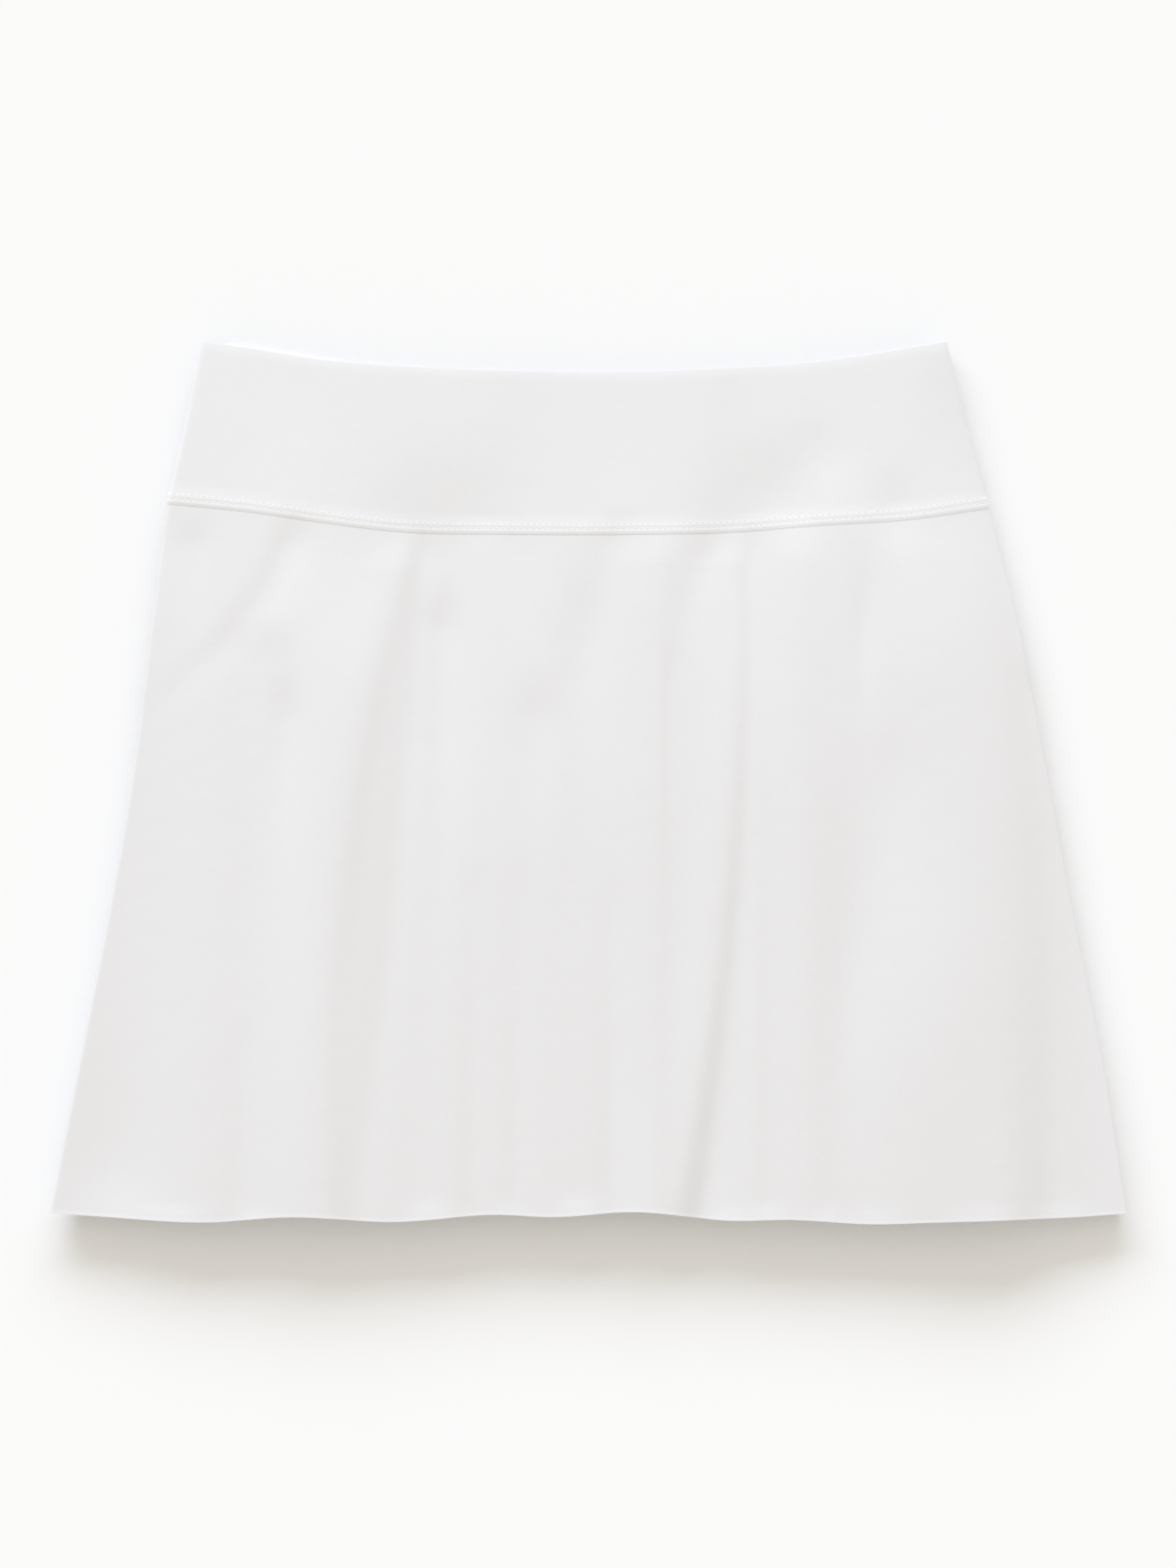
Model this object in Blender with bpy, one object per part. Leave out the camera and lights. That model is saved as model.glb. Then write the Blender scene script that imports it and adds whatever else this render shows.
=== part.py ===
"""A-line tennis skirt laid out flat on its back, waist towards +Y, in metres.

The garment is a flattened tube. The back panels lie flat on the floor at z = 0, and the front
panels arch over them: each row across the skirt rises from the two side seams in a rounded roll
and runs over soft folds between them. Every cloth piece is a closed wall of its own, 0.3 mm from
the next one where the real garment is sewn.
"""

from collections import namedtuple

import bmesh
import bpy
import numpy as np

# Cloth
SKIRT_CLOTH = 0.0012  # one layer of firm stretch cloth
BAND_CLOTH = 0.0020  # the waistband is faced with itself, so it is two layers
SEAM_GAP = 0.0003  # between two pieces that are sewn together

# The cover-stitched welt: twin ridges that lie on the front along the waistband's seam
WELT_ABOVE = 0.0052  # how far it reaches up from the seam
WELT_BELOW = 0.0009  # and down from it
WELT_EDGE = 0.0004  # how thick it is at its two long edges,
WELT_RIDGE = 0.0015  # on top of each ridge
WELT_GROOVE = 0.0008  # and in the groove between them

# How finely the walls are divided
ROLL_COLUMNS = 5  # round each side
MIDDLE_COLUMNS = 62  # between the two side rolls
ROLL_SHARE = 0.07  # the share of a row's places that each side roll takes
BAND_ROWS = 6
SKIRT_ROWS = 24
ROW_CROWDING = 1.3  # the skirt's rows lie closer together towards the waistband
WELT_ROWS = 8
NUDGE = 1e-4  # the step over which a surface's slope is measured

# Sections across the garment, from the waist to the hem: the two side edges, how high the
# outside of the front stands over the floor between its folds, and how wide each side roll is
Section = namedtuple("Section", "y left right height roll")
SECTIONS = (
    Section(0.1973, -0.1745, 0.1604, 0.0092, 0.014),  # waist
    Section(0.1237, -0.1890, 0.1795, 0.0104, 0.018),  # waistband seam
    Section(0.0750, -0.1955, 0.1917, 0.0118, 0.024),  # hip
    Section(0.0100, -0.2033, 0.2044, 0.0134, 0.028),
    Section(-0.0600, -0.2155, 0.2175, 0.0149, 0.031),
    Section(-0.1250, -0.2290, 0.2305, 0.0163, 0.033),
    Section(-0.1927, -0.2405, 0.2405, 0.0175, 0.034),  # hem
)

# The three lines that run across the front, each from its left end to its right end
Stop = namedtuple("Stop", "x y")
WAIST_EDGE = (
    Stop(-0.1745, 0.1973),
    Stop(-0.1555, 0.1942),
    Stop(-0.1203, 0.1883),
    Stop(-0.0850, 0.1853),
    Stop(-0.0320, 0.1832),
    Stop(0.0205, 0.1831),
    Stop(0.0545, 0.1841),
    Stop(0.1050, 0.1876),
    Stop(0.1437, 0.1939),
    Stop(0.1604, 0.1973),
)
BAND_SEAM = (
    Stop(-0.1890, 0.1247),
    Stop(-0.1547, 0.1212),
    Stop(-0.1212, 0.1164),
    Stop(-0.0878, 0.1124),
    Stop(-0.0376, 0.1111),
    Stop(0.0205, 0.1110),
    Stop(0.0627, 0.1120),
    Stop(0.0961, 0.1146),
    Stop(0.1463, 0.1181),
    Stop(0.1795, 0.1228),
)
HEM = (
    Stop(-0.2405, -0.1926),
    Stop(-0.2198, -0.1941),
    Stop(-0.1714, -0.1965),
    Stop(-0.1327, -0.1940),
    Stop(-0.0895, -0.1963),
    Stop(-0.0411, -0.1932),
    Stop(-0.0191, -0.1942),
    Stop(0.0222, -0.1919),
    Stop(0.0609, -0.1958),
    Stop(0.0900, -0.1954),
    Stop(0.1239, -0.1973),
    Stop(0.1577, -0.1963),
    Stop(0.1868, -0.1954),
    Stop(0.2158, -0.1942),
    Stop(0.2405, -0.1927),
)
BACK_HEM = (HEM[0], Stop(0, -0.1897), HEM[-1])  # the back lies flat, so it hangs less low

# The folds of the front, each a soft ridge, or a trough where its rise is negative. Its line
# runs down from y_top to y_foot through x_top, x_mid (half way down) and x_foot. half is half of
# its width and rise is its height, both at the top and at the foot.
Fold = namedtuple("Fold", "y_top y_foot x_top x_mid x_foot half_top half_foot rise_top rise_foot")
FOLD_START = 0.022  # the length over which a fold grows out of the flat cloth
FOLDS = (
    # two shallow dents in the waistband
    Fold(0.182, 0.108, -0.058, -0.062, -0.066, 0.030, 0.030, -0.0013, 0.0),
    Fold(0.182, 0.104, 0.096, 0.078, 0.058, 0.016, 0.016, -0.0014, 0.0),
    # left side: a drag line from the seam to the side, then a wide dip above the hem
    Fold(0.118, 0.020, -0.132, -0.162, -0.192, 0.009, 0.014, -0.0030, 0.0),
    Fold(0.045, -0.200, -0.155, -0.182, -0.202, 0.026, 0.024, -0.0012, -0.0026),
    # left of centre: a ridge, a deep trough and another ridge
    Fold(0.118, -0.200, -0.1130, -0.1295, -0.1335, 0.012, 0.011, 0.0018, 0.0042),
    Fold(0.118, -0.200, -0.0820, -0.1065, -0.1036, 0.011, 0.014, -0.0016, -0.0034),
    Fold(0.118, -0.200, -0.0715, -0.0757, -0.0697, 0.010, 0.011, 0.0017, 0.0021),
    # centre: a short gather under the seam, then a ridge that starts half way down
    Fold(0.120, 0.005, 0.0110, -0.0100, -0.0360, 0.011, 0.013, -0.0036, 0.0),
    Fold(0.030, -0.200, -0.0350, -0.0410, -0.0400, 0.011, 0.012, 0.0006, 0.0020),
    # right of centre: a ridge to the hem, one that fades, and the deepest trough of all
    Fold(0.118, -0.200, 0.0230, 0.0204, 0.0227, 0.010, 0.012, 0.0017, 0.0028),
    Fold(0.118, -0.140, 0.0530, 0.0465, 0.0400, 0.009, 0.010, 0.0026, 0.0),
    Fold(0.118, -0.200, 0.0678, 0.0622, 0.0425, 0.009, 0.012, -0.0024, -0.0060),
    # right side: a ridge, a trough, a wide crest and the dip before the side roll
    Fold(0.118, -0.200, 0.0950, 0.0962, 0.0975, 0.010, 0.012, 0.0018, 0.0025),
    Fold(0.115, -0.200, 0.1230, 0.1118, 0.1164, 0.010, 0.012, -0.0022, -0.0021),
    Fold(0.100, -0.200, 0.1480, 0.1525, 0.1591, 0.017, 0.022, 0.0010, 0.0024),
    Fold(0.100, -0.200, 0.1800, 0.1880, 0.1899, 0.012, 0.015, -0.0008, -0.0028),
)

# Colours as linear red, green and blue, and how rough the cloth is
SKIRT_WHITE = (0.79, 0.79, 0.80)
BAND_WHITE = (0.81, 0.81, 0.81)
WELT_WHITE = (0.84, 0.84, 0.84)
CLOTH_ROUGHNESS = 0.85


def clear_scene():
    for thing in list(bpy.data.objects):
        bpy.data.objects.remove(thing, do_unlink=True)


def mix(start, end, share):
    return start + (end - start) * share


def smooth_step(share):
    """Goes smoothly from 0 to 1 as its argument does."""
    share = np.clip(share, 0, 1)
    return share * share * (3 - 2 * share)


def smooth_curve(stations, values, at):
    """The smooth curve through the values at the stations, read at the given places."""
    stations, values = np.array(stations), np.array(values)
    steps = np.diff(stations)
    rates = np.diff(values) / steps
    slopes = np.append(rates[0], rates)  # the slope at each station, a mean of those beside it
    slopes[1:-1] = (rates[:-1] * steps[1:] + rates[1:] * steps[:-1]) / (steps[:-1] + steps[1:])
    at = np.clip(at, stations[0], stations[-1])
    span = np.clip(np.searchsorted(stations, at) - 1, 0, len(steps) - 1)
    share = (at - stations[span]) / steps[span]
    bow_start = slopes[span] * steps[span] * share * (1 - share) ** 2
    bow_end = slopes[span + 1] * steps[span] * share**2 * (share - 1)
    return mix(values[span], values[span + 1], smooth_step(share)) + bow_start + bow_end


def section_size(column, y):
    """One of the sections' sizes at a distance y along the garment."""
    upwards = SECTIONS[::-1]
    return smooth_curve([s.y for s in upwards], [getattr(s, column) for s in upwards], y)


def fold_rise(fold, x, y):
    """How far one fold lifts the cloth at the points x, y."""
    share = (fold.y_top - y) / (fold.y_top - fold.y_foot)
    sag = fold.x_mid - (fold.x_top + fold.x_foot) / 2
    line_x = mix(fold.x_top, fold.x_foot, share) + 4 * sag * share * (1 - share)
    half = mix(fold.half_top, fold.half_foot, np.clip(share, 0, 1))
    rise = mix(fold.rise_top, fold.rise_foot, smooth_step(share))
    growth = smooth_step((fold.y_top - y) / FOLD_START)
    return rise * growth * np.exp(-(((x - line_x) / half) ** 2))


def row_across(place, left, right, roll):
    """The x of each place in a row, and the share of the row's height that it stands at.

    A place is 0 at the left side seam and 1 at the right one. The first and last ROLL_SHARE of
    the places go round the side rolls, which are quarter ellipses.
    """
    turn_left = np.minimum(place / ROLL_SHARE, 1) * np.pi / 2
    turn_right = np.minimum((1 - place) / ROLL_SHARE, 1) * np.pi / 2
    middle = np.clip((place - ROLL_SHARE) / (1 - 2 * ROLL_SHARE), 0, 1)
    x = mix(left + roll, right - roll, middle) - roll * np.cos(turn_left) + roll * np.cos(turn_right)
    return x, np.sin(turn_left) * np.sin(turn_right)


def line_row(line, place):
    """The y of a line across the garment, at the given places of the row that it makes."""
    x, _ = row_across(place, line[0].x, line[-1].x, section_size("roll", line[0].y))
    return smooth_curve([stop.x for stop in line], [stop.y for stop in line], x)


def front_row(place, down, edge_height, hem=HEM):
    """Points on the outside of the front, at the given places of one row.

    down is 0 at the waist edge, 1 at the waistband's seam and 2 at the hem. edge_height is how
    high over the floor the cloth ends at its side seams.
    """
    upper, lower, share = (WAIST_EDGE, BAND_SEAM, down) if down < 1 else (BAND_SEAM, hem, down - 1)
    y = mix(line_row(upper, place), line_row(lower, place), share)
    left_y = mix(upper[0].y, lower[0].y, share)
    right_y = mix(upper[-1].y, lower[-1].y, share)
    left, right = section_size("left", left_y), section_size("right", right_y)
    x, lift = row_across(place, left, right, section_size("roll", left_y))
    crest = section_size("height", y) - edge_height + sum(fold_rise(fold, x, y) for fold in FOLDS)
    return np.stack([x, y, edge_height + crest * lift], axis=-1)


def front_grid(downs, edge_height):
    """A grid of points on the outside of the front, and the way that the cloth faces at each."""
    round_left = np.linspace(0, ROLL_SHARE, ROLL_COLUMNS, endpoint=False)
    middle = np.linspace(ROLL_SHARE, 1 - ROLL_SHARE, MIDDLE_COLUMNS + 1)
    place = np.concatenate([round_left, middle, 1 - round_left[::-1]])
    points, facings = [], []
    for down in downs:
        lower, upper = (front_row(place, down + step, edge_height) for step in (NUDGE, -NUDGE))
        right, left = (front_row(place + step, down, edge_height) for step in (NUDGE, -NUDGE))
        facing = np.cross(lower - upper, right - left)
        facings.append(facing / np.linalg.norm(facing, axis=-1, keepdims=True))
        points.append(front_row(place, down, edge_height))
    return np.array(points), np.array(facings)


def below_seam(distance):
    """The row that lies a distance below the waistband's seam, or above it where negative."""
    band_depth = WAIST_EDGE[0].y - BAND_SEAM[0].y
    skirt_length = BAND_SEAM[0].y - HEM[0].y
    return 1 + distance / (skirt_length if distance > 0 else band_depth)


def finished_piece(name, mesh, colour):
    data = bpy.data.meshes.new(name)
    mesh.to_mesh(data)
    mesh.free()
    data.shade_smooth()
    data.set_sharp_from_angle(angle=np.radians(50))
    material = bpy.data.materials.new(name + "_cloth")
    material.use_nodes = True
    surface = material.node_tree.nodes["Principled BSDF"]
    surface.inputs["Base Color"].default_value = (*colour, 1)
    surface.inputs["Roughness"].default_value = CLOTH_ROUGHNESS
    surface.inputs["Metallic"].default_value = 0
    data.materials.append(material)
    bpy.context.collection.objects.link(bpy.data.objects.new(name, data))


def make_wall(name, outside, inside, colour):
    """A closed wall between two grids of points, whose rows run down and columns to the right."""
    mesh = bmesh.new()
    outer = [[mesh.verts.new(point) for point in row] for row in outside]
    inner = [[mesh.verts.new(point) for point in row] for row in inside]
    rows, columns = len(outer) - 1, len(outer[0]) - 1
    for r in range(rows):
        for c in range(columns):
            mesh.faces.new((outer[r][c], outer[r + 1][c], outer[r + 1][c + 1], outer[r][c + 1]))
            mesh.faces.new((inner[r][c], inner[r][c + 1], inner[r + 1][c + 1], inner[r + 1][c]))
    rim = [(r, 0) for r in range(rows)] + [(rows, c) for c in range(columns)]
    rim += [(r, columns) for r in range(rows, 0, -1)] + [(0, c) for c in range(columns, 0, -1)]
    for (r, c), (next_r, next_c) in zip(rim, rim[1:] + rim[:1]):
        mesh.faces.new((outer[r][c], inner[r][c], inner[next_r][next_c], outer[next_r][next_c]))
    finished_piece(name, mesh, colour)


def make_front(name, downs, back_thickness, thickness, colour):
    outside, facing = front_grid(downs, back_thickness + SEAM_GAP)
    make_wall(name, outside, outside - facing * thickness, colour)


def make_back(name, downs, thickness, colour):
    """A back panel flat on the floor, with the front's side edges."""
    place = np.linspace(0, 1, MIDDLE_COLUMNS // 2)
    rows = [front_row(place, down, 0, BACK_HEM)[:, :2] for down in downs]
    left_side = [row[0] for row in rows[:-1]]
    right_side = [row[-1] for row in rows[:0:-1]]
    outline = [*left_side, *rows[-1][:-1], *right_side, *rows[0][:0:-1]]
    mesh = bmesh.new()
    lower = [mesh.verts.new((x, y, 0)) for x, y in outline]
    upper = [mesh.verts.new((x, y, thickness)) for x, y in outline]
    mesh.faces.new(lower[::-1])
    mesh.faces.new(upper)
    for i in range(len(outline)):
        mesh.faces.new((lower[i - 1], lower[i], upper[i], upper[i - 1]))
    finished_piece(name, mesh, colour)


def make_welt():
    """The twin ridges along the seam, made from the front's own points moved out."""
    across = np.linspace(0, 1, WELT_ROWS + 1)
    thickness = mix(WELT_GROOVE, WELT_RIDGE, np.sin(across * 2 * np.pi) ** 2)
    thickness[[0, -1]] = WELT_EDGE
    downs = [below_seam(distance) for distance in mix(-WELT_ABOVE, WELT_BELOW, across)]
    outside, facing = front_grid(downs, BAND_CLOTH + SEAM_GAP)
    inside = outside + facing * SEAM_GAP
    make_wall("seam_welt", inside + facing * thickness[:, None, None], inside, WELT_WHITE)


clear_scene()
band_downs = np.linspace(0, below_seam(-SEAM_GAP / 2), BAND_ROWS + 1)
skirt_downs = mix(below_seam(SEAM_GAP / 2), 2, np.linspace(0, 1, SKIRT_ROWS + 1) ** ROW_CROWDING)
make_front("waistband_front", band_downs, BAND_CLOTH, BAND_CLOTH, BAND_WHITE)
make_front("skirt_front", skirt_downs, SKIRT_CLOTH, SKIRT_CLOTH, SKIRT_WHITE)
make_back("waistband_back", band_downs, BAND_CLOTH, BAND_WHITE)
make_back("skirt_back", skirt_downs, SKIRT_CLOTH, SKIRT_WHITE)
make_welt()
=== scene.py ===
from collections import namedtuple

import bpy
import numpy as np
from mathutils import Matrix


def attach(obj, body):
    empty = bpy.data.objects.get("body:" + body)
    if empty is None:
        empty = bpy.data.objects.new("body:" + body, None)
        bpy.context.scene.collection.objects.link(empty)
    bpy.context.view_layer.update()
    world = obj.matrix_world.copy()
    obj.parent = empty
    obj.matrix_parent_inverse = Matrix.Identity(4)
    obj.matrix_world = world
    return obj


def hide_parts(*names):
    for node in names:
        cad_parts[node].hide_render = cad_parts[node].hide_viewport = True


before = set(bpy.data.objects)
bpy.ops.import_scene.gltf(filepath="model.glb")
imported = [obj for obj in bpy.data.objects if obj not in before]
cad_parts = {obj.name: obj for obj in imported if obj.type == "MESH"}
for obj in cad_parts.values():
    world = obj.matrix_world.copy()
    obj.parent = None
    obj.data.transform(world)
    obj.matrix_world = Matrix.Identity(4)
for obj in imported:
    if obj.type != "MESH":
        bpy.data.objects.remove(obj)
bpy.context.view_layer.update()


# ---------------------------------------------------------------------------- Skirt, front panel
# One layer of firm white stretch cloth, flared from the waistband's seam to a hem that is cut
# clean. It is sewn to the back panel down both sides, just over the floor. From there it rises
# and leans out, turns in tightly at the top, and arches over the back in long soft folds.

SKIRT_CLOTH = 0.0010  # how thick it is
SKIRT_EDGE = 0.0007  # how high over the floor the front panel ends at its side seams
BAND_EDGE = 0.0013  # and the same for the front of the waistband

# The sides of a row of cloth. The places in a row run from 0 at the left side seam to 1 at the right.
SIDE_SHARE = 0.045  # the share of the places that each side takes
WIDEST = 0.90  # the share of its height at which a side is widest
SIDE_FOOT = np.radians(65)  # the part of a quarter turn that it makes below that
LEFT_DRAW_IN = 0.0190  # how far a whole quarter turn would draw it in there
RIGHT_DRAW_IN = 0.0045
PUCKER = 0.00045  # how far the sides wave in and out, half-way up
PUCKER_LENGTHS = (0.017, 0.026, 0.041)  # the waves that add up to it
PUCKER_SHIFT = 1.7  # in radians, from one of them to the next

# Across the skirt at eight places down its length: where its outline is, how high it stands over
# the floor between the folds, and how round its sides turn in at the top
Section = namedtuple("Section", "y left right height round")
SECTIONS = (
    Section(0.1973, -0.1749, 0.1592, 0.0092, 0.0024),  # waist
    Section(0.1650, -0.1811, 0.1669, 0.0097, 0.0024),
    Section(0.1237, -0.1900, 0.1780, 0.0104, 0.0024),  # waistband seam
    Section(0.0750, -0.1964, 0.1904, 0.0124, 0.0016),  # hip
    Section(0.0100, -0.2043, 0.2033, 0.0138, 0.0014),
    Section(-0.0600, -0.2162, 0.2163, 0.0146, 0.0013),
    Section(-0.1250, -0.2290, 0.2291, 0.0155, 0.0013),
    Section(-0.1930, -0.2423, 0.2399, 0.0164, 0.0013),  # hem
)

# The lines that run across the skirt, from its left side to its right
Stop = namedtuple("Stop", "x y")
WAIST_EDGE = (
    Stop(-0.1749, 0.1973),
    Stop(-0.1555, 0.1948),
    Stop(-0.1203, 0.1893),
    Stop(-0.0850, 0.1864),
    Stop(-0.0320, 0.1842),
    Stop(0.0205, 0.1839),
    Stop(0.0545, 0.1851),
    Stop(0.1050, 0.1888),
    Stop(0.1437, 0.1948),
    Stop(0.1592, 0.1973),
)
BAND_SEAM = (
    Stop(-0.1900, 0.1247),
    Stop(-0.1547, 0.1212),
    Stop(-0.1212, 0.1164),
    Stop(-0.0878, 0.1124),
    Stop(-0.0376, 0.1111),
    Stop(0.0205, 0.1110),
    Stop(0.0627, 0.1120),
    Stop(0.0961, 0.1146),
    Stop(0.1463, 0.1181),
    Stop(0.1780, 0.1228),
)
HEM = (
    Stop(-0.2423, -0.1926),
    Stop(-0.2198, -0.1941),
    Stop(-0.1714, -0.1965),
    Stop(-0.1327, -0.1940),
    Stop(-0.0895, -0.1963),
    Stop(-0.0411, -0.1932),
    Stop(-0.0191, -0.1942),
    Stop(0.0222, -0.1919),
    Stop(0.0609, -0.1958),
    Stop(0.0900, -0.1954),
    Stop(0.1239, -0.1973),
    Stop(0.1577, -0.1963),
    Stop(0.1868, -0.1954),
    Stop(0.2158, -0.1946),
    Stop(0.2399, -0.1930),
)

# A fold is a ridge or a trough that runs down the cloth on a bowed line. Where it leans, its left
# slope is longer and its right slope is shorter by that share.
Fold = namedtuple("Fold", "y_top y_foot x_top x_mid x_foot half_top half_foot rise_top rise_foot lean")
FOLD_START = 0.022  # the length over which a fold grows out of the flat cloth
FOLDS = (
    # the left side lies low, and the right side has a long hollow and then a low brim
    Fold(0.130, -0.200, -0.186, -0.208, -0.232, 0.024, 0.030, -0.0004, -0.0022, 0.0),
    Fold(0.230, -0.200, 0.162, 0.2005, 0.208, 0.015, 0.022, -0.0026, -0.0038, -0.3),
    Fold(0.060, -0.200, 0.200, 0.218, 0.236, 0.010, 0.016, -0.0010, -0.0034, 0.0),
    # left of centre, the cloth rises to the hem in one broad wave
    Fold(0.125, -0.200, -0.130, -0.132, -0.134, 0.032, 0.038, 0.0, 0.0038, 0.0),
    # left side: a drag line from the seam to the side, then a wide dip above the hem
    Fold(0.126, 0.015, -0.132, -0.156, -0.222, 0.009, 0.012, -0.0012, 0.0, -0.2),
    Fold(0.075, -0.200, -0.147, -0.149, -0.152, 0.015, 0.018, -0.0009, -0.0020, 0.0),
    # left of centre: a ridge, a trough and another ridge
    Fold(0.116, -0.200, -0.081, -0.113, -0.119, 0.010, 0.011, 0.0011, 0.0012, 0.25),
    Fold(0.122, -0.200, -0.0750, -0.087, -0.106, 0.005, 0.009, -0.0006, -0.0008, 0.0),
    Fold(0.020, -0.200, -0.064, -0.063, -0.062, 0.011, 0.010, 0.0002, 0.0008, 0.2),
    # centre: a short ridge and a short gather under the seam
    Fold(0.120, 0.005, -0.048, -0.044, -0.034, 0.010, 0.011, 0.0007, 0.0, 0.2),
    Fold(0.126, 0.005, 0.014, 0.001, -0.018, 0.008, 0.014, -0.0008, 0.0, -0.1),
    # right of centre: a ridge to the hem, then the sharp fold that deepens all the way down
    Fold(0.118, -0.200, 0.031, 0.0280, 0.026, 0.012, 0.010, 0.0009, 0.0013, 0.3),
    Fold(0.118, -0.200, 0.064, 0.0582, 0.0350, 0.008, 0.012, 0.0008, 0.0018, 0.4),
    Fold(0.118, -0.200, 0.071, 0.0678, 0.0487, 0.004, 0.008, -0.0005, -0.0007, -0.3),
    # right side: a narrow ridge and a wide one
    Fold(0.120, -0.200, 0.093, 0.0945, 0.096, 0.012, 0.012, 0.0007, 0.0012, 0.0),
    Fold(0.120, -0.200, 0.160, 0.170, 0.181, 0.022, 0.025, 0.0003, 0.0016, 0.3),
)

# Finer creases than the folds
CREASES = (
    Fold(0.122, 0.040, 0.058, 0.046, 0.038, 0.009, 0.007, -0.0008, 0.0, 0.0),
    Fold(0.112, -0.200, 0.074, 0.0740, 0.072, 0.004, 0.005, 0.0003, 0.0004, 0.2),
    Fold(0.066, -0.080, 0.035, 0.0345, 0.033, 0.003, 0.003, -0.0005, 0.0, -0.3),
    Fold(-0.085, -0.200, 0.061, 0.056, 0.0480, 0.006, 0.009, 0.0, -0.0008, -0.3),
    Fold(-0.030, -0.200, -0.052, -0.053, -0.054, 0.006, 0.006, -0.0002, -0.0004, 0.0),
    Fold(-0.030, -0.200, -0.033, -0.033, -0.033, 0.006, 0.006, -0.0003, -0.0007, 0.0),
    Fold(-0.040, -0.200, 0.009, 0.009, 0.009, 0.006, 0.006, -0.0003, -0.0009, 0.0),
    Fold(-0.100, -0.200, -0.155, -0.156, -0.158, 0.006, 0.006, -0.0002, -0.0004, 0.0),
)

# A dent is a shallow hollow, or a swelling where it rises
Dent = namedtuple("Dent", "x y half_x half_up half_down rise")
DENTS = (
    # along the waistband's seam
    Dent(-0.132, 0.122, 0.026, 0.030, 0.040, 0.0007),
    Dent(-0.064, 0.098, 0.038, 0.036, 0.095, -0.0030),
    Dent(0.016, 0.116, 0.026, 0.030, 0.040, 0.0006),
    Dent(0.064, 0.103, 0.020, 0.030, 0.055, -0.0018),
    Dent(0.086, 0.130, 0.017, 0.020, 0.020, -0.0011),
    Dent(0.104, 0.148, 0.012, 0.015, 0.015, -0.0006),
    Dent(0.114, 0.118, 0.016, 0.026, 0.026, 0.0006),
    Dent(0.137, 0.122, 0.010, 0.014, 0.014, -0.0008),
    # swellings of the waist edge between its corners
    Dent(-0.038, 0.200, 0.020, 0.030, 0.035, 0.0009),
    Dent(0.056, 0.200, 0.014, 0.030, 0.035, 0.0008),
    Dent(0.160, 0.203, 0.022, 0.030, 0.034, 0.0020),
    # where the skirt swells out at the hips, down its right side and at the hem's right end
    Dent(-0.113, 0.040, 0.022, 0.045, 0.110, 0.0026),
    Dent(0.146, 0.052, 0.024, 0.045, 0.050, 0.0011),
    Dent(0.155, -0.110, 0.028, 0.095, 0.105, 0.0034),
    Dent(0.185, -0.205, 0.022, 0.055, 0.020, 0.0014),
    # short hollows under the seam, long ones between the folds, and one at the hem's left end
    Dent(-0.178, 0.104, 0.008, 0.009, 0.030, -0.0006),
    Dent(-0.136, 0.026, 0.008, 0.020, 0.045, -0.0016),
    Dent(-0.067, 0.066, 0.009, 0.016, 0.110, -0.0016),
    Dent(-0.025, 0.026, 0.010, 0.016, 0.040, -0.0010),
    Dent(0.122, 0.072, 0.006, 0.020, 0.040, -0.0010),
    Dent(0.116, -0.080, 0.012, 0.060, 0.060, -0.0016),
    Dent(0.132, -0.005, 0.014, 0.030, 0.060, -0.0008),
    Dent(-0.004, 0.060, 0.012, 0.036, 0.090, -0.0013),
    Dent(-0.213, -0.172, 0.018, 0.045, 0.022, -0.0013),
)

# The hem turns up in a narrow lip all along, and a flip is a wider piece of it that turns up more
LIP_WIDTH = 0.0010
LIP_RISE = 0.00012
Flip = namedtuple("Flip", "x half depth rise")
HEM_FLIPS = (
    Flip(-0.187, 0.014, 0.006, 0.0006),
    Flip(-0.150, 0.006, 0.004, 0.0003),
    Flip(-0.072, 0.008, 0.006, 0.0006),
    Flip(-0.036, 0.006, 0.004, 0.0003),
    Flip(-0.005, 0.010, 0.006, 0.0007),
    Flip(0.062, 0.007, 0.004, 0.0004),
    Flip(0.078, 0.008, 0.005, 0.0006),
    Flip(0.106, 0.008, 0.005, 0.0005),
    Flip(0.128, 0.010, 0.005, 0.0005),
    Flip(0.176, 0.014, 0.005, 0.0004),
    Flip(0.212, 0.012, 0.005, 0.0004),
)


def mix(start, end, share):
    return start + (end - start) * share


def smooth_step(share):
    share = np.clip(share, 0, 1)
    return share * share * (3 - 2 * share)


def smooth_curve(stations, values, at):
    """The smooth curve through the values at the stations, read at the given places."""
    stations, values = np.array(stations), np.array(values)
    steps = np.diff(stations)
    rates = np.diff(values) / steps
    slopes = np.append(rates[0], rates)
    slopes[1:-1] = (rates[:-1] * steps[1:] + rates[1:] * steps[:-1]) / (steps[:-1] + steps[1:])
    at = np.clip(at, stations[0], stations[-1])
    span = np.clip(np.searchsorted(stations, at) - 1, 0, len(steps) - 1)
    share = (at - stations[span]) / steps[span]
    bow_start = slopes[span] * steps[span] * share * (1 - share) ** 2
    bow_end = slopes[span + 1] * steps[span] * share**2 * (share - 1)
    return mix(values[span], values[span + 1], smooth_step(share)) + bow_start + bow_end


def section_size(column, y):
    """One of the sections' sizes, at any y between them."""
    upwards = SECTIONS[::-1]
    return smooth_curve([s.y for s in upwards], [getattr(s, column) for s in upwards], y)


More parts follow.
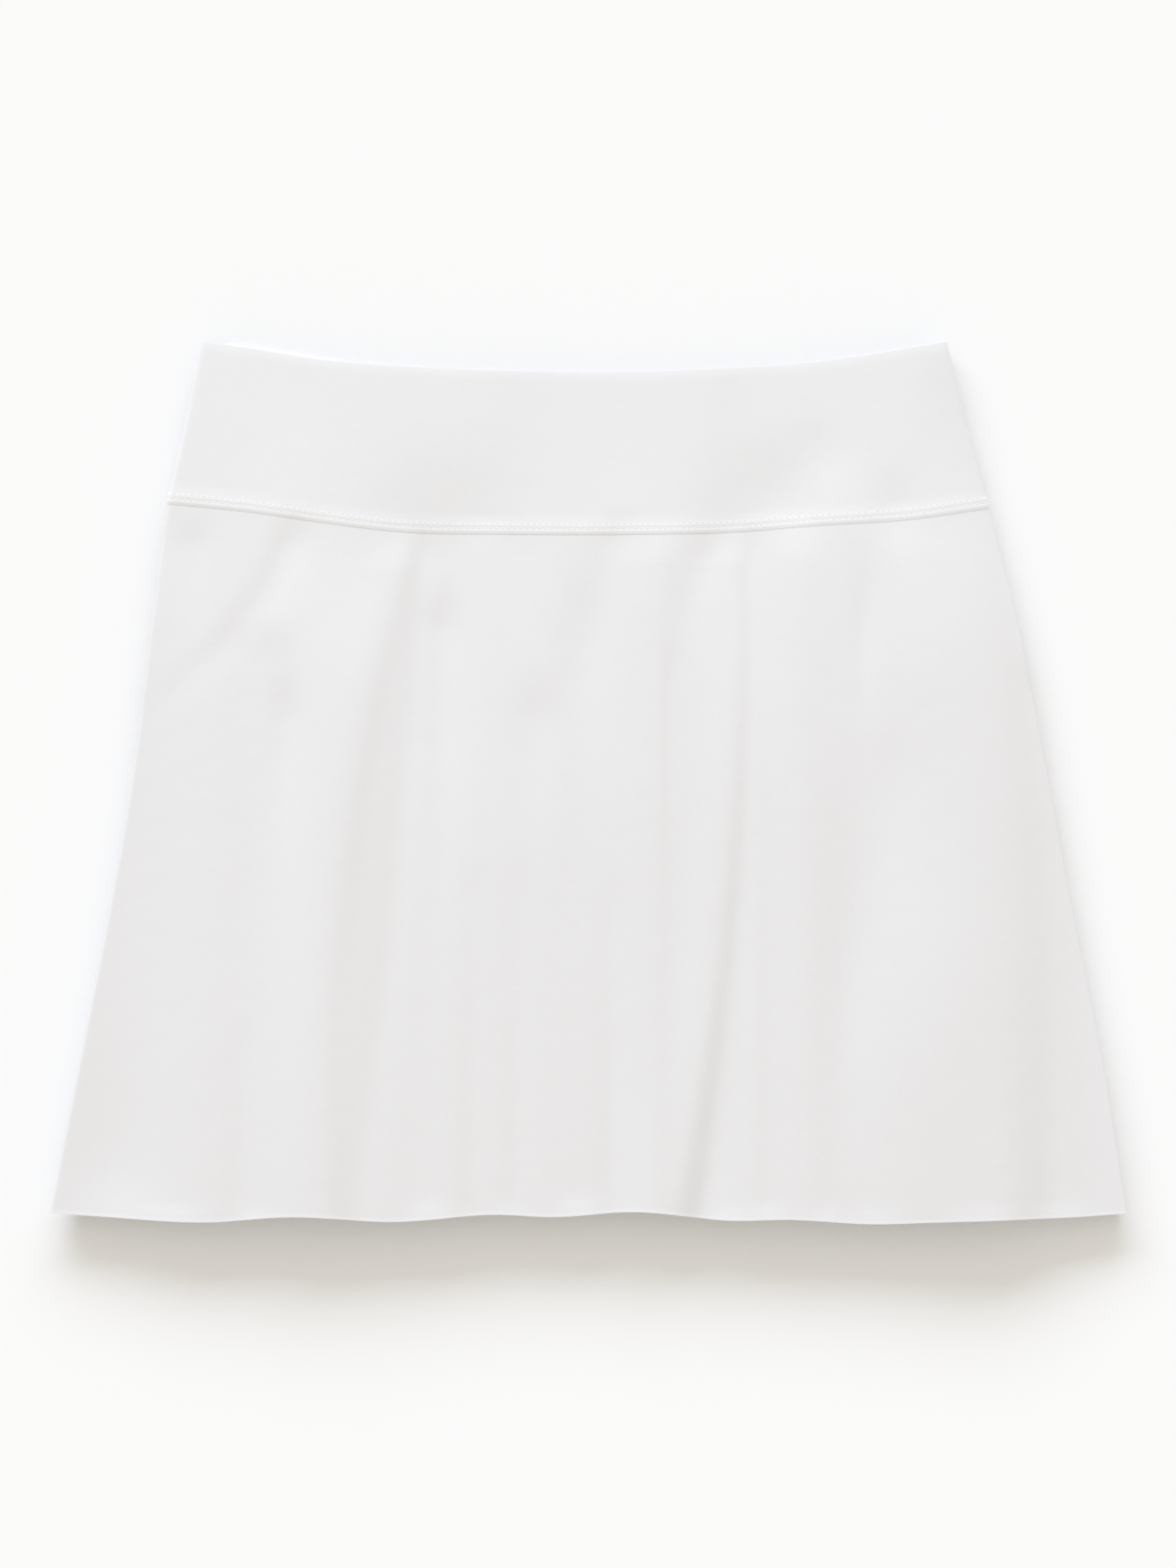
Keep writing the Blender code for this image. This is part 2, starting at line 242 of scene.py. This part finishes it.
def fold_rise(fold, x, y):
    """How far one fold lifts the cloth at the points x, y."""
    share = (fold.y_top - y) / (fold.y_top - fold.y_foot)
    sag = fold.x_mid - (fold.x_top + fold.x_foot) / 2
    line_x = mix(fold.x_top, fold.x_foot, share) + 4 * sag * share * (1 - share)
    half = mix(fold.half_top, fold.half_foot, np.clip(share, 0, 1))
    half = half * (1 + fold.lean * np.where(x < line_x, 1, -1))
    rise = mix(fold.rise_top, fold.rise_foot, smooth_step(share))
    growth = smooth_step((fold.y_top - y) / FOLD_START)
    return rise * growth * np.exp(-(((x - line_x) / half) ** 2))


def dent_rise(dent, x, y):
    """How far one dent lifts the cloth at the points x, y, or sinks it where its rise is negative."""
    half_y = np.where(y > dent.y, dent.half_up, dent.half_down)
    return dent.rise * np.exp(-(((x - dent.x) / dent.half_x) ** 2) - ((y - dent.y) / half_y) ** 2)


def side_turn(share):
    """Which way a side faces, from its seam at 0 up to 1: below 0 it leans out, above 0 it turns in."""
    return mix(-SIDE_FOOT, np.pi / 2, np.clip(share, 0, 1))


def side_inset(share, radius, draw_in):
    """How far a side stands in from its widest point."""
    turn = side_turn(share)
    return np.where(turn < 0, draw_in, radius) * (1 - np.cos(turn))


def side_lift(share):
    """The share of the row's height that a side stands at."""
    turn = side_turn(share)
    lower = WIDEST * (1 + np.sin(np.minimum(turn, 0)) / np.sin(SIDE_FOOT))
    return lower + (1 - WIDEST) * np.sin(np.maximum(turn, 0))


def row_lift(place):
    """The share of the row's height that each place stands at."""
    return side_lift(place / SIDE_SHARE) * side_lift((1 - place) / SIDE_SHARE)


def row_x(place, left, right, radius):
    """The x of each place in a row whose outline is at left and right."""
    in_left = side_inset(place / SIDE_SHARE, radius, LEFT_DRAW_IN)
    in_right = side_inset((1 - place) / SIDE_SHARE, radius, RIGHT_DRAW_IN)
    middle = np.clip((place - SIDE_SHARE) / (1 - 2 * SIDE_SHARE), 0, 1)
    return mix(left + radius, right - radius, middle) + (in_left - radius) - (in_right - radius)


def side_puckers(place, y):
    """How far the sides wave along x, where the side seam's thread has drawn the cloth up."""
    side = np.where(place < 0.5, -1, 1)
    waves = [
        np.sin(2 * np.pi * y / length + PUCKER_SHIFT * side * number)
        for number, length in enumerate(PUCKER_LENGTHS, 1)
    ]
    lift = row_lift(place)
    return side * PUCKER * sum(waves) / len(waves) * 4 * lift * (1 - lift)


def line_at(line, x):
    """The y of a line at x."""
    return smooth_curve([stop.x for stop in line], [stop.y for stop in line], x)


def line_row(line, place):
    """The y of a line at each place of a row that runs along it."""
    return line_at(line, row_x(place, line[0].x, line[-1].x, section_size("round", line[0].y)))


def between_lines(down, values):
    """From 0 at the waist over 1 at the waistband's seam to 2 at the hem, mixes the three values."""
    waist, seam, hem = values
    return np.where(down < 1, mix(waist, seam, down), mix(seam, hem, down - 1))


def front_surface(place, down, edge_height):
    """Points on the outside of the front, with place from 0 at the left side seam to 1."""
    lines = (WAIST_EDGE, BAND_SEAM, HEM)
    y = between_lines(down, [line_row(line, place) for line in lines])
    left_y = between_lines(down, [line[0].y for line in lines])
    right_y = between_lines(down, [line[-1].y for line in lines])
    left, right = section_size("left", left_y), section_size("right", right_y)
    x = row_x(place, left, right, section_size("round", left_y)) + side_puckers(place, y)
    crest = section_size("height", y) - edge_height
    crest += sum(fold_rise(fold, x, y) for fold in FOLDS + CREASES)
    crest += sum(dent_rise(dent, x, y) for dent in DENTS)
    return np.stack([x, y, edge_height + crest * row_lift(place)], axis=-1)


def skirt_front_shape(place, down):
    points = front_surface(place, 1 + down, SKIRT_EDGE)
    x, y = points[:, 0], points[:, 1]
    from_hem = y - line_row(HEM, place)
    rise = LIP_RISE * np.exp(-((from_hem / LIP_WIDTH) ** 2))
    for flip in HEM_FLIPS:
        rise += flip.rise * np.exp(-(((x - flip.x) / flip.half) ** 2) - (from_hem / flip.depth) ** 2)
    points[:, 2] += rise * row_lift(place)
    return points


TUCK_REACH = 3  # how far down the cloth a tuck fades out, against its depth


def cloth_sheet(name, shape, columns, rows, thickness, rim, crowding=0.8, tuck=0.0):
    """A grid of cloth bent to its shape, with its thickness inwards and its rims rounded.

    Its rows crowd towards both edges, where the cloth turns most. The tuck is how far the lower
    side of its top edge is drawn in under the upper side."""
    bpy.ops.object.select_all(action="DESELECT")
    bpy.ops.mesh.primitive_grid_add(x_subdivisions=columns, y_subdivisions=rows, size=2)
    sheet = bpy.context.object
    sheet.name = sheet.data.name = name
    flat = np.empty(len(sheet.data.vertices) * 3)
    sheet.data.vertices.foreach_get("co", flat)
    flat = flat.reshape(-1, 3)
    place, down = (flat[:, 0] + 1) / 2, (1 - flat[:, 1]) / 2
    points = shape(place, down - crowding * np.sin(2 * np.pi * down) / (2 * np.pi))
    sheet.data.vertices.foreach_set("co", points.ravel())
    lay_grain(sheet, points, columns, rows)
    wall = sheet.modifiers.new("cloth thickness", "SOLIDIFY")
    wall.thickness = thickness
    wall.offset = -1
    wall.use_even_offset = True
    edge = sheet.modifiers.new("soft rims", "BEVEL")
    edge.width = rim
    edge.segments = 3
    edge.limit_method = "ANGLE"
    edge.angle_limit = np.radians(50)
    bpy.ops.object.modifier_apply(modifier=wall.name)
    if tuck:
        draw_in_lower_side(sheet, points, columns, tuck)
    bpy.ops.object.modifier_apply(modifier=edge.name)
    bpy.ops.object.shade_smooth()
    return sheet


def draw_in_lower_side(sheet, points, columns, tuck):
    """Moves the lower side's top rows down the cloth, most at the edge itself."""
    corners = np.empty(len(sheet.data.vertices) * 3)
    sheet.data.vertices.foreach_get("co", corners)
    corners = corners.reshape(-1, 3)
    top_y = np.tile(points[-columns - 1 :, 1], len(points) // (columns + 1))
    fading = np.exp(-(top_y - points[:, 1]) / (TUCK_REACH * tuck))
    lower_side = slice(len(points), 2 * len(points))  # Solidify adds it after the upper side
    corners[lower_side, 1] -= tuck * fading
    sheet.data.vertices.foreach_set("co", corners.ravel())


def lay_grain(sheet, points, columns, rows):
    """Makes the UV map the flat cloth itself in metres, with the grain straight down its middle."""
    grid = points.reshape(rows + 1, columns + 1, 3)
    steps = np.linalg.norm(np.diff(grid, axis=1), axis=2)
    across = np.concatenate([np.zeros((rows + 1, 1)), np.cumsum(steps, axis=1)], axis=1)
    across -= across[:, columns // 2, None]
    grain = np.stack([across, grid[:, :, 1]], axis=-1).reshape(-1, 2)
    corner = np.empty(len(sheet.data.loops), dtype=int)
    sheet.data.loops.foreach_get("vertex_index", corner)
    sheet.data.uv_layers[0].data.foreach_set("uv", grain[corner].ravel())


class Value:
    """A shader socket that takes part in sums. Each sum adds its Math node."""

    def __init__(self, socket):
        self.socket = socket

    def math(self, operation, *operands):
        node = self.socket.node.id_data.nodes.new("ShaderNodeMath")
        node.operation = operation
        for socket, operand in zip(node.inputs, operands):
            feed(socket, operand)
        return Value(node.outputs[0])

    def __add__(self, other):
        return self.math("ADD", self, other)

    def __sub__(self, other):
        return self.math("SUBTRACT", self, other)

    def __rsub__(self, other):
        return self.math("SUBTRACT", other, self)

    def __mul__(self, other):
        return self.math("MULTIPLY", self, other)

    def sine(self):
        return self.math("SINE", self)

    __radd__ = __add__
    __rmul__ = __mul__


def feed(socket, value):
    if isinstance(value, Value):
        socket.node.id_data.links.new(value.socket, socket)
    else:
        socket.default_value = value


class Finish:
    """One material. node() adds a shader node, and wear() gives the material to a piece."""

    def __init__(self, name, **constants):
        self.material = bpy.data.materials.new(name)
        self.material.use_nodes = True
        self.nodes = self.material.node_tree.nodes
        self.surface = self.nodes["Principled BSDF"]
        for socket, value in constants.items():
            feed(self.surface.inputs[socket.replace("_", " ")], value)

    def node(self, kind, sockets, output=0, **settings):
        node = self.nodes.new(kind)
        for name, value in settings.items():
            setattr(node, name, value)
        for name, value in sockets.items():
            feed(node.inputs[name], value)
        return Value(node.outputs[output])

    def between(self, share, first, second):
        """A colour from the first to the second. A Mix node takes and gives colours at 6, 7 and 2."""
        sockets = {"Factor": share, 6: (*first, 1), 7: (*second, 1)}
        return self.node("ShaderNodeMix", sockets, 2, data_type="RGBA")

    def wear(self, piece):
        piece.data.materials.clear()
        piece.data.materials.append(self.material)


WALE = 0.0006  # from one wale of the knit to the next
COURSES_TO_WALES = 1.3  # how many courses, which cross the wales, there are to each wale
COURSE_SLANT = 0.5  # the share of a course by which each wale is offset from the one before
COURSE_DEPTH = 0.6  # against the depth of the wales


def knit_finish(name, light, dark, depth):
    """Fine smooth knit: its wales run down the grain, and its white drifts a little."""
    knit = Finish(name, Sheen_Weight=0.12, Sheen_Roughness=0.5, Specular_IOR_Level=0.25)
    grain = knit.node("ShaderNodeTexCoord", {}, "UV")
    drift = knit.node("ShaderNodeTexNoise", {"Vector": grain, "Scale": 9.0, "Detail": 3.0})
    fleck = knit.node("ShaderNodeTexNoise", {"Vector": grain, "Scale": 900.0, "Detail": 2.0})
    feed(knit.surface.inputs["Base Color"], knit.between(drift * 0.7 + fleck * 0.3, light, dark))
    feed(knit.surface.inputs["Roughness"], 0.78 + fleck * 0.12)
    across = knit.node("ShaderNodeSeparateXYZ", {"Vector": grain}, "X")
    along = Value(across.socket.node.outputs["Y"])
    turn = 2 * np.pi / WALE
    wales = (across * turn).sine()
    courses = (along * turn * COURSES_TO_WALES + across * turn * COURSE_SLANT).sine()
    loops = (wales + COURSE_DEPTH * courses) * 0.5
    crumple = knit.node("ShaderNodeTexNoise", {"Vector": grain, "Scale": 70.0, "Detail": 4.0})
    knitted = knit.node("ShaderNodeBump", {"Strength": 0.35, "Distance": depth, "Height": loops})
    worn = {"Strength": 0.25, "Distance": 0.0006, "Height": crumple, "Normal": knitted}
    feed(knit.surface.inputs["Normal"], knit.node("ShaderNodeBump", worn))
    return knit


skirt_cloth = knit_finish(
    "skirt_cloth_white", light=(0.786, 0.776, 0.786), dark=(0.763, 0.753, 0.763), depth=0.00006
)

skirt_front = cloth_sheet(
    "skirt_front_panel",
    skirt_front_shape,
    columns=220,
    rows=165,
    thickness=SKIRT_CLOTH,
    rim=0.00015,
)
skirt_cloth.wear(skirt_front)
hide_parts("skirt_front")
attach(skirt_front, "root")


# ----------------------------------------------------------------------------- Skirt, back panel
# The same cloth, cut a little shorter. It lies under the front panel with a few shallow creases
# pressed into it, and the welt of its own seam holds it just off the floor.

BACK_LOWER = 0.0015  # how far below the front the back ends at the waist
BACK_LIFT = 0.00035  # how far the back's cloth is off the floor
CREASE_INSET = 0.05  # the share of a row's places in which the creases come up at each side
BACK_HEM = (HEM[0], Stop(0, -0.1897), HEM[-1])
BACK_CREASES = (
    Fold(0.105, -0.200, -0.120, -0.128, -0.140, 0.007, 0.010, 0.0003, 0.0008, 0.0),
    Fold(0.100, -0.060, -0.070, -0.066, -0.060, 0.006, 0.008, 0.0007, 0.0, 0.2),
    Fold(0.040, -0.200, -0.020, -0.024, -0.030, 0.007, 0.010, 0.0002, 0.0009, 0.0),
    Fold(0.108, 0.010, 0.015, 0.024, 0.040, 0.006, 0.008, 0.0009, 0.0, -0.2),
    Fold(0.090, -0.200, 0.070, 0.078, 0.085, 0.007, 0.011, 0.0004, 0.0010, 0.0),
    Fold(0.000, -0.200, 0.150, 0.156, 0.160, 0.008, 0.010, 0.0002, 0.0007, 0.3),
)


def back_surface(place, down, folds):
    """Points on the upper side of the back, before its thickness."""
    lines = (WAIST_EDGE, BAND_SEAM, BACK_HEM)
    y = between_lines(down, [line_at(line, mix(line[0].x, line[-1].x, place)) for line in lines])
    y -= BACK_LOWER * np.clip(1 - down, 0, 1)
    left_y = between_lines(down, [line[0].y for line in lines])
    right_y = between_lines(down, [line[-1].y for line in lines])
    left = section_size("left", left_y) + LEFT_DRAW_IN * (1 - np.cos(SIDE_FOOT))
    right = section_size("right", right_y) - RIGHT_DRAW_IN * (1 - np.cos(SIDE_FOOT))
    x = mix(left, right, place)
    inside = smooth_step(place / CREASE_INSET) * smooth_step((1 - place) / CREASE_INSET)
    return x, y, sum(fold_rise(fold, x, y) for fold in folds) * inside


def skirt_back_shape(place, down):
    x, y, rise = back_surface(place, 1 + down, BACK_CREASES)
    return np.stack([x, y, SKIRT_CLOTH + BACK_LIFT + rise], axis=-1)


skirt_back = cloth_sheet(
    "skirt_back_panel",
    skirt_back_shape,
    columns=130,
    rows=90,
    thickness=SKIRT_CLOTH,
    rim=0.0003,
)
skirt_cloth.wear(skirt_back)
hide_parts("skirt_back")
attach(skirt_back, "root")


# ------------------------------------------------------------------------------ Waistband, front
# A deep smooth band of the same cloth laid double, so it is folded and not cut along its top
# edge. It dips at centre front, and the seam allowance inside lifts it a little above the seam.

BAND_CLOTH = 0.0019  # how thick the two layers are together
TOP_ROUND = 0.0045  # how far the rounding of the folded top edge reaches down
TOP_DROP = 0.0002  # how far it comes down at the edge
FOLD_TUCK = 0.0022  # how far the folded edge rolls to the inside
WELT_SWELL = 0.00015  # how much the seam allowance lifts the band
SWELL_START, SWELL_FULL = 0.0085, 0.0045  # measured up from the seam


def waistband_front_shape(place, down):
    points = front_surface(place, down, BAND_EDGE)
    from_edge = line_row(WAIST_EDGE, place) - points[:, 1]
    from_seam = points[:, 1] - line_row(BAND_SEAM, place)
    drop = TOP_DROP * np.clip(1 - from_edge / TOP_ROUND, 0, 1) ** 2
    swell = WELT_SWELL * smooth_step((SWELL_START - from_seam) / (SWELL_START - SWELL_FULL))
    points[:, 2] += (swell - drop) * row_lift(place)
    return points


band_cloth = knit_finish(
    "band_cloth_white", light=(0.795, 0.788, 0.799), dark=(0.777, 0.770, 0.781), depth=0.00005
)

band_front = cloth_sheet(
    "waistband_front_panel",
    waistband_front_shape,
    columns=200,
    rows=48,
    thickness=BAND_CLOTH,
    rim=0.00015,
    tuck=FOLD_TUCK,
)
band_cloth.wear(band_front)
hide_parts("waistband_front")
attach(band_front, "root")


# ------------------------------------------------------------------------------- Waistband, back
# The other half of the double band. It lies flat and plain under the front, and its folded edge
# ends a little below the front's.


def waistband_back_shape(place, down):
    x, y, rise = back_surface(place, down, ())
    return np.stack([x, y, BAND_CLOTH + BACK_LIFT + rise], axis=-1)


band_back = cloth_sheet(
    "waistband_back_panel",
    waistband_back_shape,
    columns=100,
    rows=24,
    thickness=BAND_CLOTH,
    rim=0.0007,
)
band_cloth.wear(band_back)
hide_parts("waistband_back")
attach(band_back, "root")


# ------------------------------------------------------------------------------ Welt of the seam
# Where band and skirt join, the seam allowance is turned up and caught under two rows of cover
# stitching, which leaves twin soft ridges with a groove between them. The seam goes all round, so
# the back has the same welt, which faces the floor.

WELT_ABOVE = 0.0049  # how far the welt reaches up from the seam
WELT_BELOW = 0.0003
WELT_CLOTH = 0.0003  # how thick the cloth over the ridges is
Ridge = namedtuple("Ridge", "down height")
WELT_PROFILE = (  # down from the welt's upper edge, and how far it stands off the panels
    Ridge(0.0, 0.00020),
    Ridge(0.0010, 0.00030),
    Ridge(0.0023, 0.00023),
    Ridge(0.0034, 0.00031),
    Ridge(0.0041, 0.00025),
    Ridge(0.0052, 0.00002),
)
STITCH_PITCH = 0.0027
PUCKERED_LENGTH = 0.37  # the length of the front's seam
WELT_PUCKER = 0.06  # the share of its height by which each stitch gathers the welt
STEP = 1e-4  # how far each way a slope is measured, as a share of a row and of a panel's depth


def below_seam(distance):
    """The row that lies a distance below the waistband's seam, or above it where negative."""
    band_depth = WAIST_EDGE[0].y - BAND_SEAM[0].y
    skirt_length = BAND_SEAM[0].y - HEM[0].y
    return 1 + distance / np.where(distance > 0, skirt_length, band_depth)


def front_facing(place, down):
    """Which way the front faces, measured over a short step each way."""
    left, right = (front_surface(place + step, down, BAND_EDGE) for step in (-STEP, STEP))
    upper, lower = (front_surface(place, down + step, BAND_EDGE) for step in (-STEP, STEP))
    facing = np.cross(lower - upper, right - left)
    return facing / np.linalg.norm(facing, axis=-1, keepdims=True)


def welt_height(across):
    """How far the welt stands off the panels, from its upper edge at 0 to its lower edge at 1."""
    stations, heights = zip(*WELT_PROFILE)
    return smooth_curve(stations, heights, across * (WELT_ABOVE + WELT_BELOW))


def welt_shape(place, across):
    down = below_seam(mix(-WELT_ABOVE, WELT_BELOW, across))
    pucker = 1 + WELT_PUCKER * np.sin(place * PUCKERED_LENGTH / STITCH_PITCH * 2 * np.pi)
    height = welt_height(across) * pucker
    return front_surface(place, down, BAND_EDGE) + front_facing(place, down) * height[:, None]


welt_cloth = knit_finish(
    "welt_cloth_white", light=(0.803, 0.800, 0.807), dark=(0.783, 0.780, 0.787), depth=0.00005
)

welt = cloth_sheet(
    "seam_welt_ridges",
    welt_shape,
    columns=560,
    rows=24,
    thickness=WELT_CLOTH,
    rim=0.0001,
    crowding=0,
)
welt_cloth.wear(welt)
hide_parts("seam_welt")
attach(welt, "root")


def back_welt_shape(place, across):
    """The welt on the back, whose places run from right to left because it faces the floor."""
    x, y, _ = back_surface(1 - place, below_seam(mix(-WELT_ABOVE, WELT_BELOW, across)), ())
    return np.stack([x, y, BACK_LIFT - welt_height(across)], axis=-1)


back_welt = cloth_sheet(
    "back_welt_ridges",
    back_welt_shape,
    columns=160,
    rows=24,
    thickness=WELT_CLOTH,
    rim=0.0001,
    crowding=0,
)
welt_cloth.wear(back_welt)
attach(back_welt, "root")


# ------------------------------------------------------------------------------- Cover stitching
# Two rows of needle thread hold the welt down, front and back: one lies in its groove and one
# along its upper edge. Each stitch is a short bead of thread whose ends dive into the cloth.

STITCH_LENGTH = 0.0023
THREAD = 0.00032  # how thick it is
STITCH_DIVE = 0.4 * THREAD  # how much lower its ends are than its middle
STITCH_ROWS = {"groove_stitches": 0.44, "upper_edge_stitches": 0.0}  # how far down the welt's width
ROW_ENDS = (0.02, 0.98)  # the places from which and to which a row is sewn
ROW_STEPS = 1200  # how many points its path has


def one_stitch():
    bpy.ops.object.select_all(action="DESELECT")
    bpy.ops.mesh.primitive_uv_sphere_add(segments=8, ring_count=7, radius=0.5)
    stitch = bpy.context.object
    bpy.ops.object.mode_set(mode="EDIT")
    bpy.ops.mesh.select_all(action="SELECT")
    bpy.ops.transform.rotate(value=np.pi / 2, orient_axis="Y", center_override=(0, 0, 0))
    bpy.ops.transform.resize(value=(STITCH_LENGTH, THREAD, THREAD), center_override=(0, 0, 0))
    bpy.ops.object.mode_set(mode="OBJECT")
    return stitch


def read_along(along, vectors, at):
    """A path's vectors at the given distances, where along holds the distance of each."""
    return np.stack([np.interp(at, along, vectors[:, axis]) for axis in range(3)], axis=1)


def sew_row(name, stitch, path, facing):
    """Copies of one stitch, end to end along a path over cloth that faces the given ways."""
    corners = np.array([tuple(vertex.co) for vertex in stitch.data.vertices])
    corners[:, 2] -= (2 * corners[:, 0] / STITCH_LENGTH) ** 2 * STITCH_DIVE
    along = np.concatenate([[0], np.cumsum(np.linalg.norm(np.diff(path, axis=0), axis=1))])
    centres = np.arange(STITCH_PITCH, along[-1] - STITCH_PITCH, STITCH_PITCH)
    middle = read_along(along, path, centres)
    up = read_along(along, facing, centres)
    forward = read_along(along, path, centres + STITCH_LENGTH / 2) - middle
    forward /= np.linalg.norm(forward, axis=1, keepdims=True)
    side = np.cross(up, forward)
    vertices = (
        middle[:, None]
        + corners[None, :, 0, None] * forward[:, None]
        + corners[None, :, 1, None] * side[:, None]
        + corners[None, :, 2, None] * up[:, None]
    ).reshape(-1, 3)
    stitch_faces = [tuple(face.vertices) for face in stitch.data.polygons]
    starts = [number * len(corners) for number in range(len(centres))]
    faces = [[start + corner for corner in face] for start in starts for face in stitch_faces]
    row = bpy.data.objects.new(name, bpy.data.meshes.new(name))
    row.data.from_pydata(vertices, [], faces)
    row.data.shade_smooth()
    bpy.context.collection.objects.link(row)
    return row


thread = Finish("white_thread", Base_Color=(0.81, 0.81, 0.81, 1), Roughness=0.55, Sheen_Weight=0.2)
stitch = one_stitch()
places = np.linspace(*ROW_ENDS, ROW_STEPS)
to_floor = np.tile((0, 0, -1), (ROW_STEPS, 1))
front_threads, back_threads = [], []
for name, across in STITCH_ROWS.items():
    down = np.full_like(places, below_seam(mix(-WELT_ABOVE, WELT_BELOW, across)))
    up = front_facing(places, down)
    path = front_surface(places, down, BAND_EDGE) + up * welt_height(across)
    front_threads.append(sew_row(name, stitch, path, up))
    x, y, _ = back_surface(places, down, ())
    path = np.stack([x, y, np.full_like(x, THREAD / 2)], axis=-1)
    back_threads.append(sew_row("back_" + name, stitch, path, to_floor))
for row in front_threads + back_threads:
    thread.wear(row)
    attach(row, "root")
bpy.data.objects.remove(stitch)


# ------------------------------------------------------------------------------- Floor and light
# A plain pale floor, a broad cool light low beyond the waist, and warm light from all round. The
# floor's paint is a little darker towards that light, so that it looks even.

FLOOR_SIZE = 6
FLOOR_LIGHT = (0.956, 0.960, 0.977)
FLOOR_DARK = (0.864, 0.860, 0.860)
DARKER_LEFTWARDS = 0.25  # against how much darker it gets towards the waist
bpy.ops.object.select_all(action="DESELECT")
bpy.ops.mesh.primitive_plane_add(size=FLOOR_SIZE)
floor = bpy.context.object
floor.name = "floor"
paint = Finish("pale_floor", Roughness=0.9, Specular_IOR_Level=0.0)
floor_place = paint.node("ShaderNodeTexCoord", {}, "Object")
rightwards = paint.node("ShaderNodeSeparateXYZ", {"Vector": floor_place}, "X")
to_waist = Value(rightwards.socket.node.outputs["Y"])
darkness = 0.5 + to_waist - DARKER_LEFTWARDS * rightwards
feed(paint.surface.inputs["Base Color"], paint.between(darkness, FLOOR_LIGHT, FLOOR_DARK))
paint.wear(floor)

KEY_ELEVATION = np.radians(23)
KEY_TURN = np.radians(11)  # to the left of straight beyond the waist
KEY_DISTANCE = 7.0
key = bpy.data.lights.new("window", "AREA")
key.shape = "ELLIPSE"
key.size, key.size_y = 9.0, 2.9
key.energy = 600
key.color = (0.734, 0.813, 0.933)
window = bpy.data.objects.new("window", key)
window.location = (
    -KEY_DISTANCE * np.cos(KEY_ELEVATION) * np.sin(KEY_TURN),
    KEY_DISTANCE * np.cos(KEY_ELEVATION) * np.cos(KEY_TURN),
    KEY_DISTANCE * np.sin(KEY_ELEVATION),
)
window.rotation_euler = window.location.to_track_quat("Z", "Y").to_euler()
bpy.context.collection.objects.link(window)

world = bpy.data.worlds.new("studio")
world.use_nodes = True
world.node_tree.nodes["Background"].inputs["Color"].default_value = (0.991, 0.948, 0.866, 1)
world.node_tree.nodes["Background"].inputs["Strength"].default_value = 0.772
bpy.context.scene.world = world
bpy.context.scene.view_settings.view_transform = "Standard"


# ---------------------------------------------------------------------------------------- Camera
# Straight above the skirt with its waist at the top of the frame, and far enough off that a high
# fold looks hardly larger than the floor.

PICTURE_HEIGHT = 1600
METRES_PER_PIXEL = 0.00044
CAMERA_DISTANCE = 2.4
SHARP_PLANE = 0.003  # the height over the floor at which a pixel has the size above
CENTRE_X, CENTRE_Y = -0.00154, -0.00077  # the point at the middle of the frame
SENSOR = 36
camera = bpy.data.cameras.new("camera")
camera.sensor_fit = "VERTICAL"
camera.sensor_height = SENSOR
camera.lens = SENSOR * CAMERA_DISTANCE / (PICTURE_HEIGHT * METRES_PER_PIXEL)
camera.clip_end = 50
viewpoint = bpy.data.objects.new("camera", camera)
viewpoint.location = (CENTRE_X, CENTRE_Y, CAMERA_DISTANCE + SHARP_PLANE)
bpy.context.collection.objects.link(viewpoint)
bpy.context.scene.camera = viewpoint
